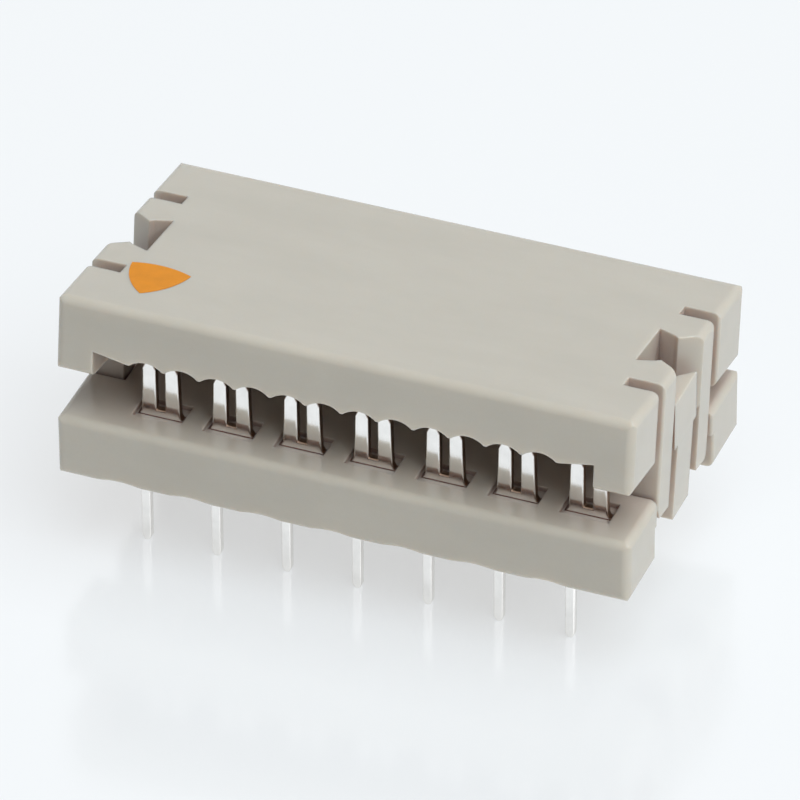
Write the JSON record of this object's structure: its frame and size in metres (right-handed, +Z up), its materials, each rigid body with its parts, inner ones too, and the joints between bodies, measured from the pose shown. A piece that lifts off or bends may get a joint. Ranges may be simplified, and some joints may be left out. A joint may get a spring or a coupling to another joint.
{
  "type": "insulation displacement connector",
  "caption": "Two-row board connector for ribbon cable: grey moulded base with stamped fork contacts and solder pins, and a grooved cover that tilts open and presses the cable into the forks.",
  "frame": {"origin": "on the board seat at the underside of the base, in the middle of the pin pattern", "axes": "+X along the contact rows, +Y from the cable side to the rear, +Z up from the board"},
  "size_m": [0.0204, 0.0111, 0.0101],
  "materials": {
    "housing": "fine matt moulded",
    "contact": "satin tin plating"
  },
  "bodies": {
    "base": {"base_housing": "housing", "contact_front_1": "contact", "contact_front_2": "contact", "contact_front_3": "contact", "contact_front_4": "contact", "contact_front_5": "contact", "contact_front_6": "contact", "contact_front_7": "contact", "contact_rear_1": "contact", "contact_rear_2": "contact", "contact_rear_3": "contact", "contact_rear_4": "contact", "contact_rear_5": "contact", "contact_rear_6": "contact", "contact_rear_7": "contact"},
    "cover": {"cover": "housing"}
  },
  "joints": [
    {"name": "cover_close", "type": "hinge", "parent": "base", "child": "cover", "pos_m": [0, 0.00881, 0.00268], "axis": [1, 0, 0], "range_deg": [0, 7.5]}
  ]
}
